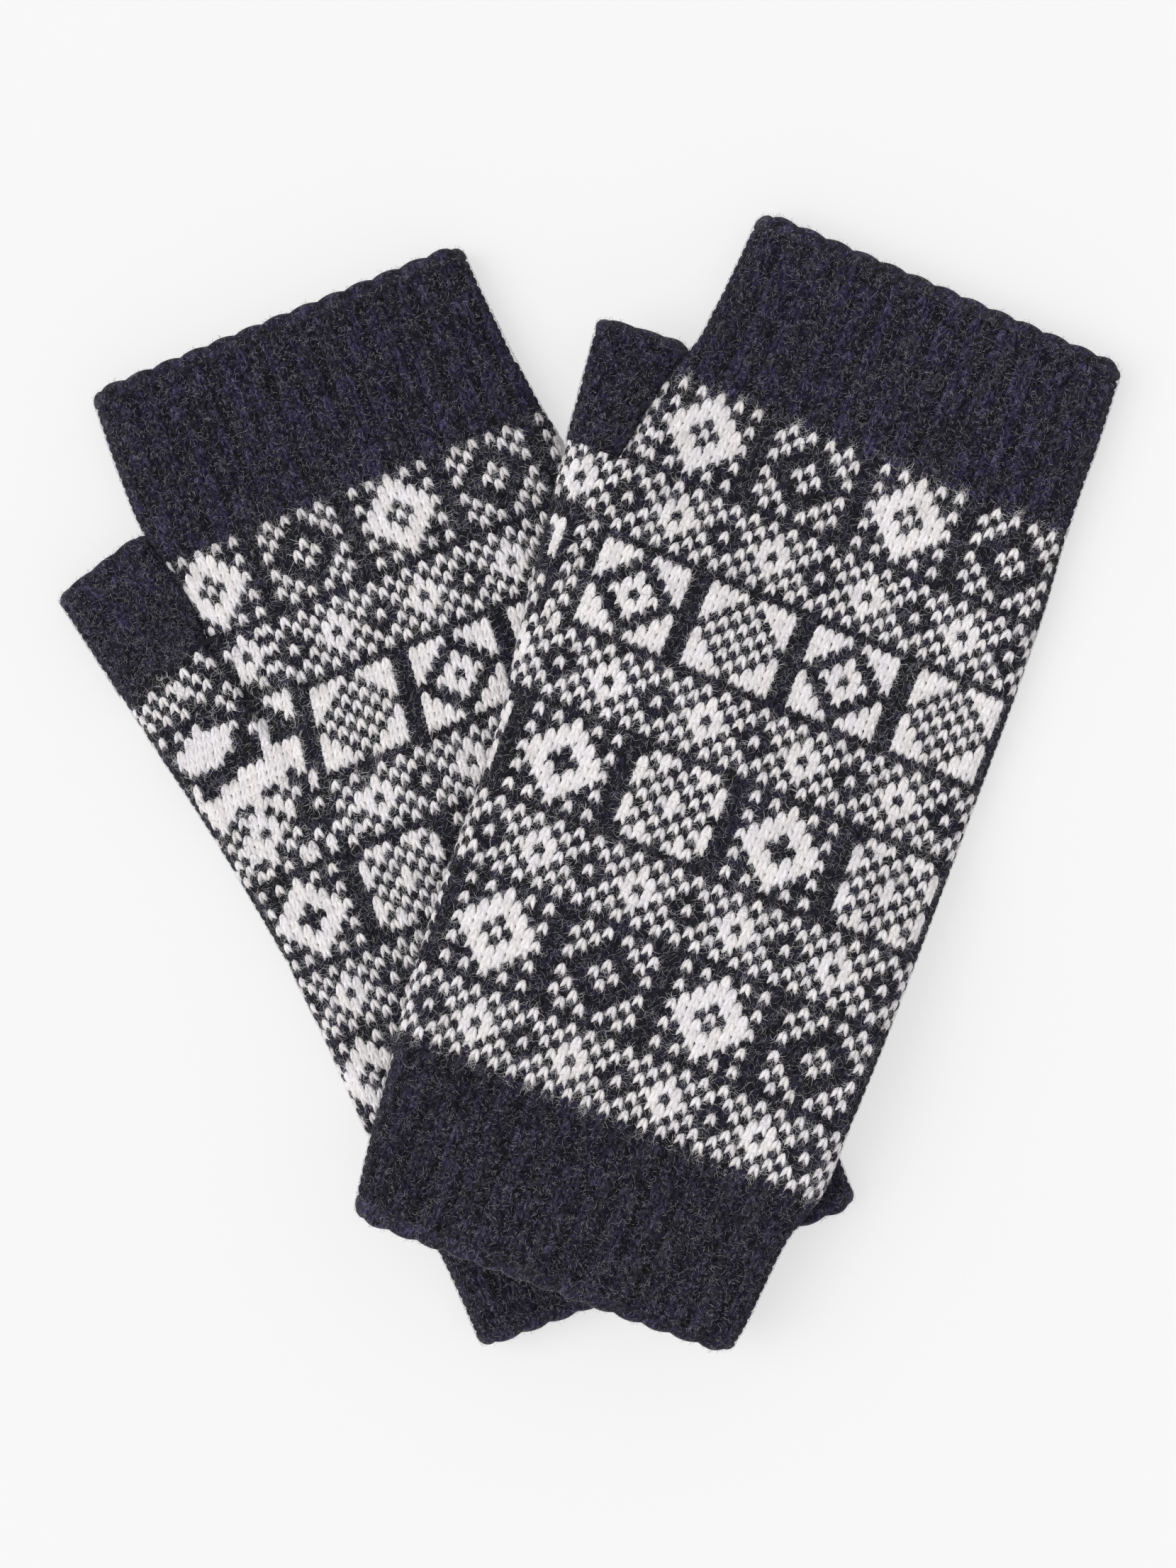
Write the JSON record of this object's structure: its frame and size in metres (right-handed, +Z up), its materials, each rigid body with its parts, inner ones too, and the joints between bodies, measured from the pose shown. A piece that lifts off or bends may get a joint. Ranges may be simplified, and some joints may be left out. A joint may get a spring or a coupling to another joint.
{
  "type": "knitted gloves",
  "caption": "A pair of fingerless knitted gloves lying crossed, with patterned hands, ribbed finger and wrist bands and plain thumb tubes that fold back.",
  "frame": {"origin": "Middle of the pair's bounding box, at the level that it rests on.", "axes": "+Z up from the table; +Y towards the finger ends, along the line midway between the two gloves; +X towards the right glove. The left glove lies palm up, turned 22.1 degrees anticlockwise; the right glove lies back up on top of it, turned 22.3 degrees clockwise."},
  "size_m": [0.2339, 0.2498, 0.0224],
  "materials": {
    "ribbing": "brushed wool rib, dark navy marl",
    "patterned_knit": "brushed two-colour stranded wool knit, cream white on navy",
    "plain_knit": "brushed plain wool knit, dark navy marl",
    "edging": "brushed bound-off wool edge, dark navy marl",
    "seam_yarn": "linked wool yarn, dark navy"
  },
  "bodies": {
    "left_glove": {"left_glove_hand": "patterned_knit", "left_glove_thumb_gusset": "patterned_knit", "left_glove_thumb_seam": "seam_yarn", "left_glove_wrist_rib": "ribbing", "left_glove_wrist_bind_off": "edging"},
    "left_finger_rib": {"left_glove_finger_rib": "ribbing", "left_glove_finger_bind_off": "edging"},
    "left_thumb": {"left_glove_thumb_tube": "plain_knit", "left_glove_thumb_hem": "edging"},
    "right_glove": {"right_glove_hand": "patterned_knit", "right_glove_thumb_gusset": "patterned_knit", "right_glove_thumb_seam": "seam_yarn"},
    "right_finger_rib": {"right_glove_finger_rib": "ribbing", "right_glove_finger_bind_off": "edging"},
    "right_thumb": {"right_glove_thumb_tube": "plain_knit", "right_glove_thumb_hem": "edging"},
    "right_wrist_rib": {"right_glove_wrist_rib": "ribbing", "right_glove_wrist_bind_off": "edging"}
  },
  "joints": [
    {"name": "right_glove_lift", "type": "slide", "parent": "left_glove", "child": "right_glove", "axis": [0, 0, 1], "range_m": [0, 0.06]},
    {"name": "left_finger_rib_fold", "type": "hinge", "parent": "left_glove", "child": "left_finger_rib", "pos_m": [-0.05223, 0.06512, 0.011], "axis": [0.9265, 0.3762, 0], "range_deg": [0, 75]},
    {"name": "left_thumb_fold", "type": "hinge", "parent": "left_glove", "child": "left_thumb", "pos_m": [-0.09365, 0.0251, 0.0112], "axis": [0.8445, 0.5356, 0], "range_deg": [0, 70]},
    {"name": "right_finger_rib_fold", "type": "hinge", "parent": "right_glove", "child": "right_finger_rib", "pos_m": [0.06338, 0.073, 0.01407], "axis": [0.9231, -0.3786, -0.0669], "range_deg": [0, 75]},
    {"name": "right_thumb_fold", "type": "hinge", "parent": "right_glove", "child": "right_thumb", "pos_m": [0.0039, 0.07145, 0.02233], "axis": [0.937, -0.3428, -0.0671], "range_deg": [0, 70]},
    {"name": "right_wrist_cuff_fold", "type": "hinge", "parent": "right_glove", "child": "right_wrist_rib", "pos_m": [0.00358, -0.07401, 0.0224], "axis": [-0.9252, 0.3795, 0], "range_deg": [0, 75]}
  ]
}
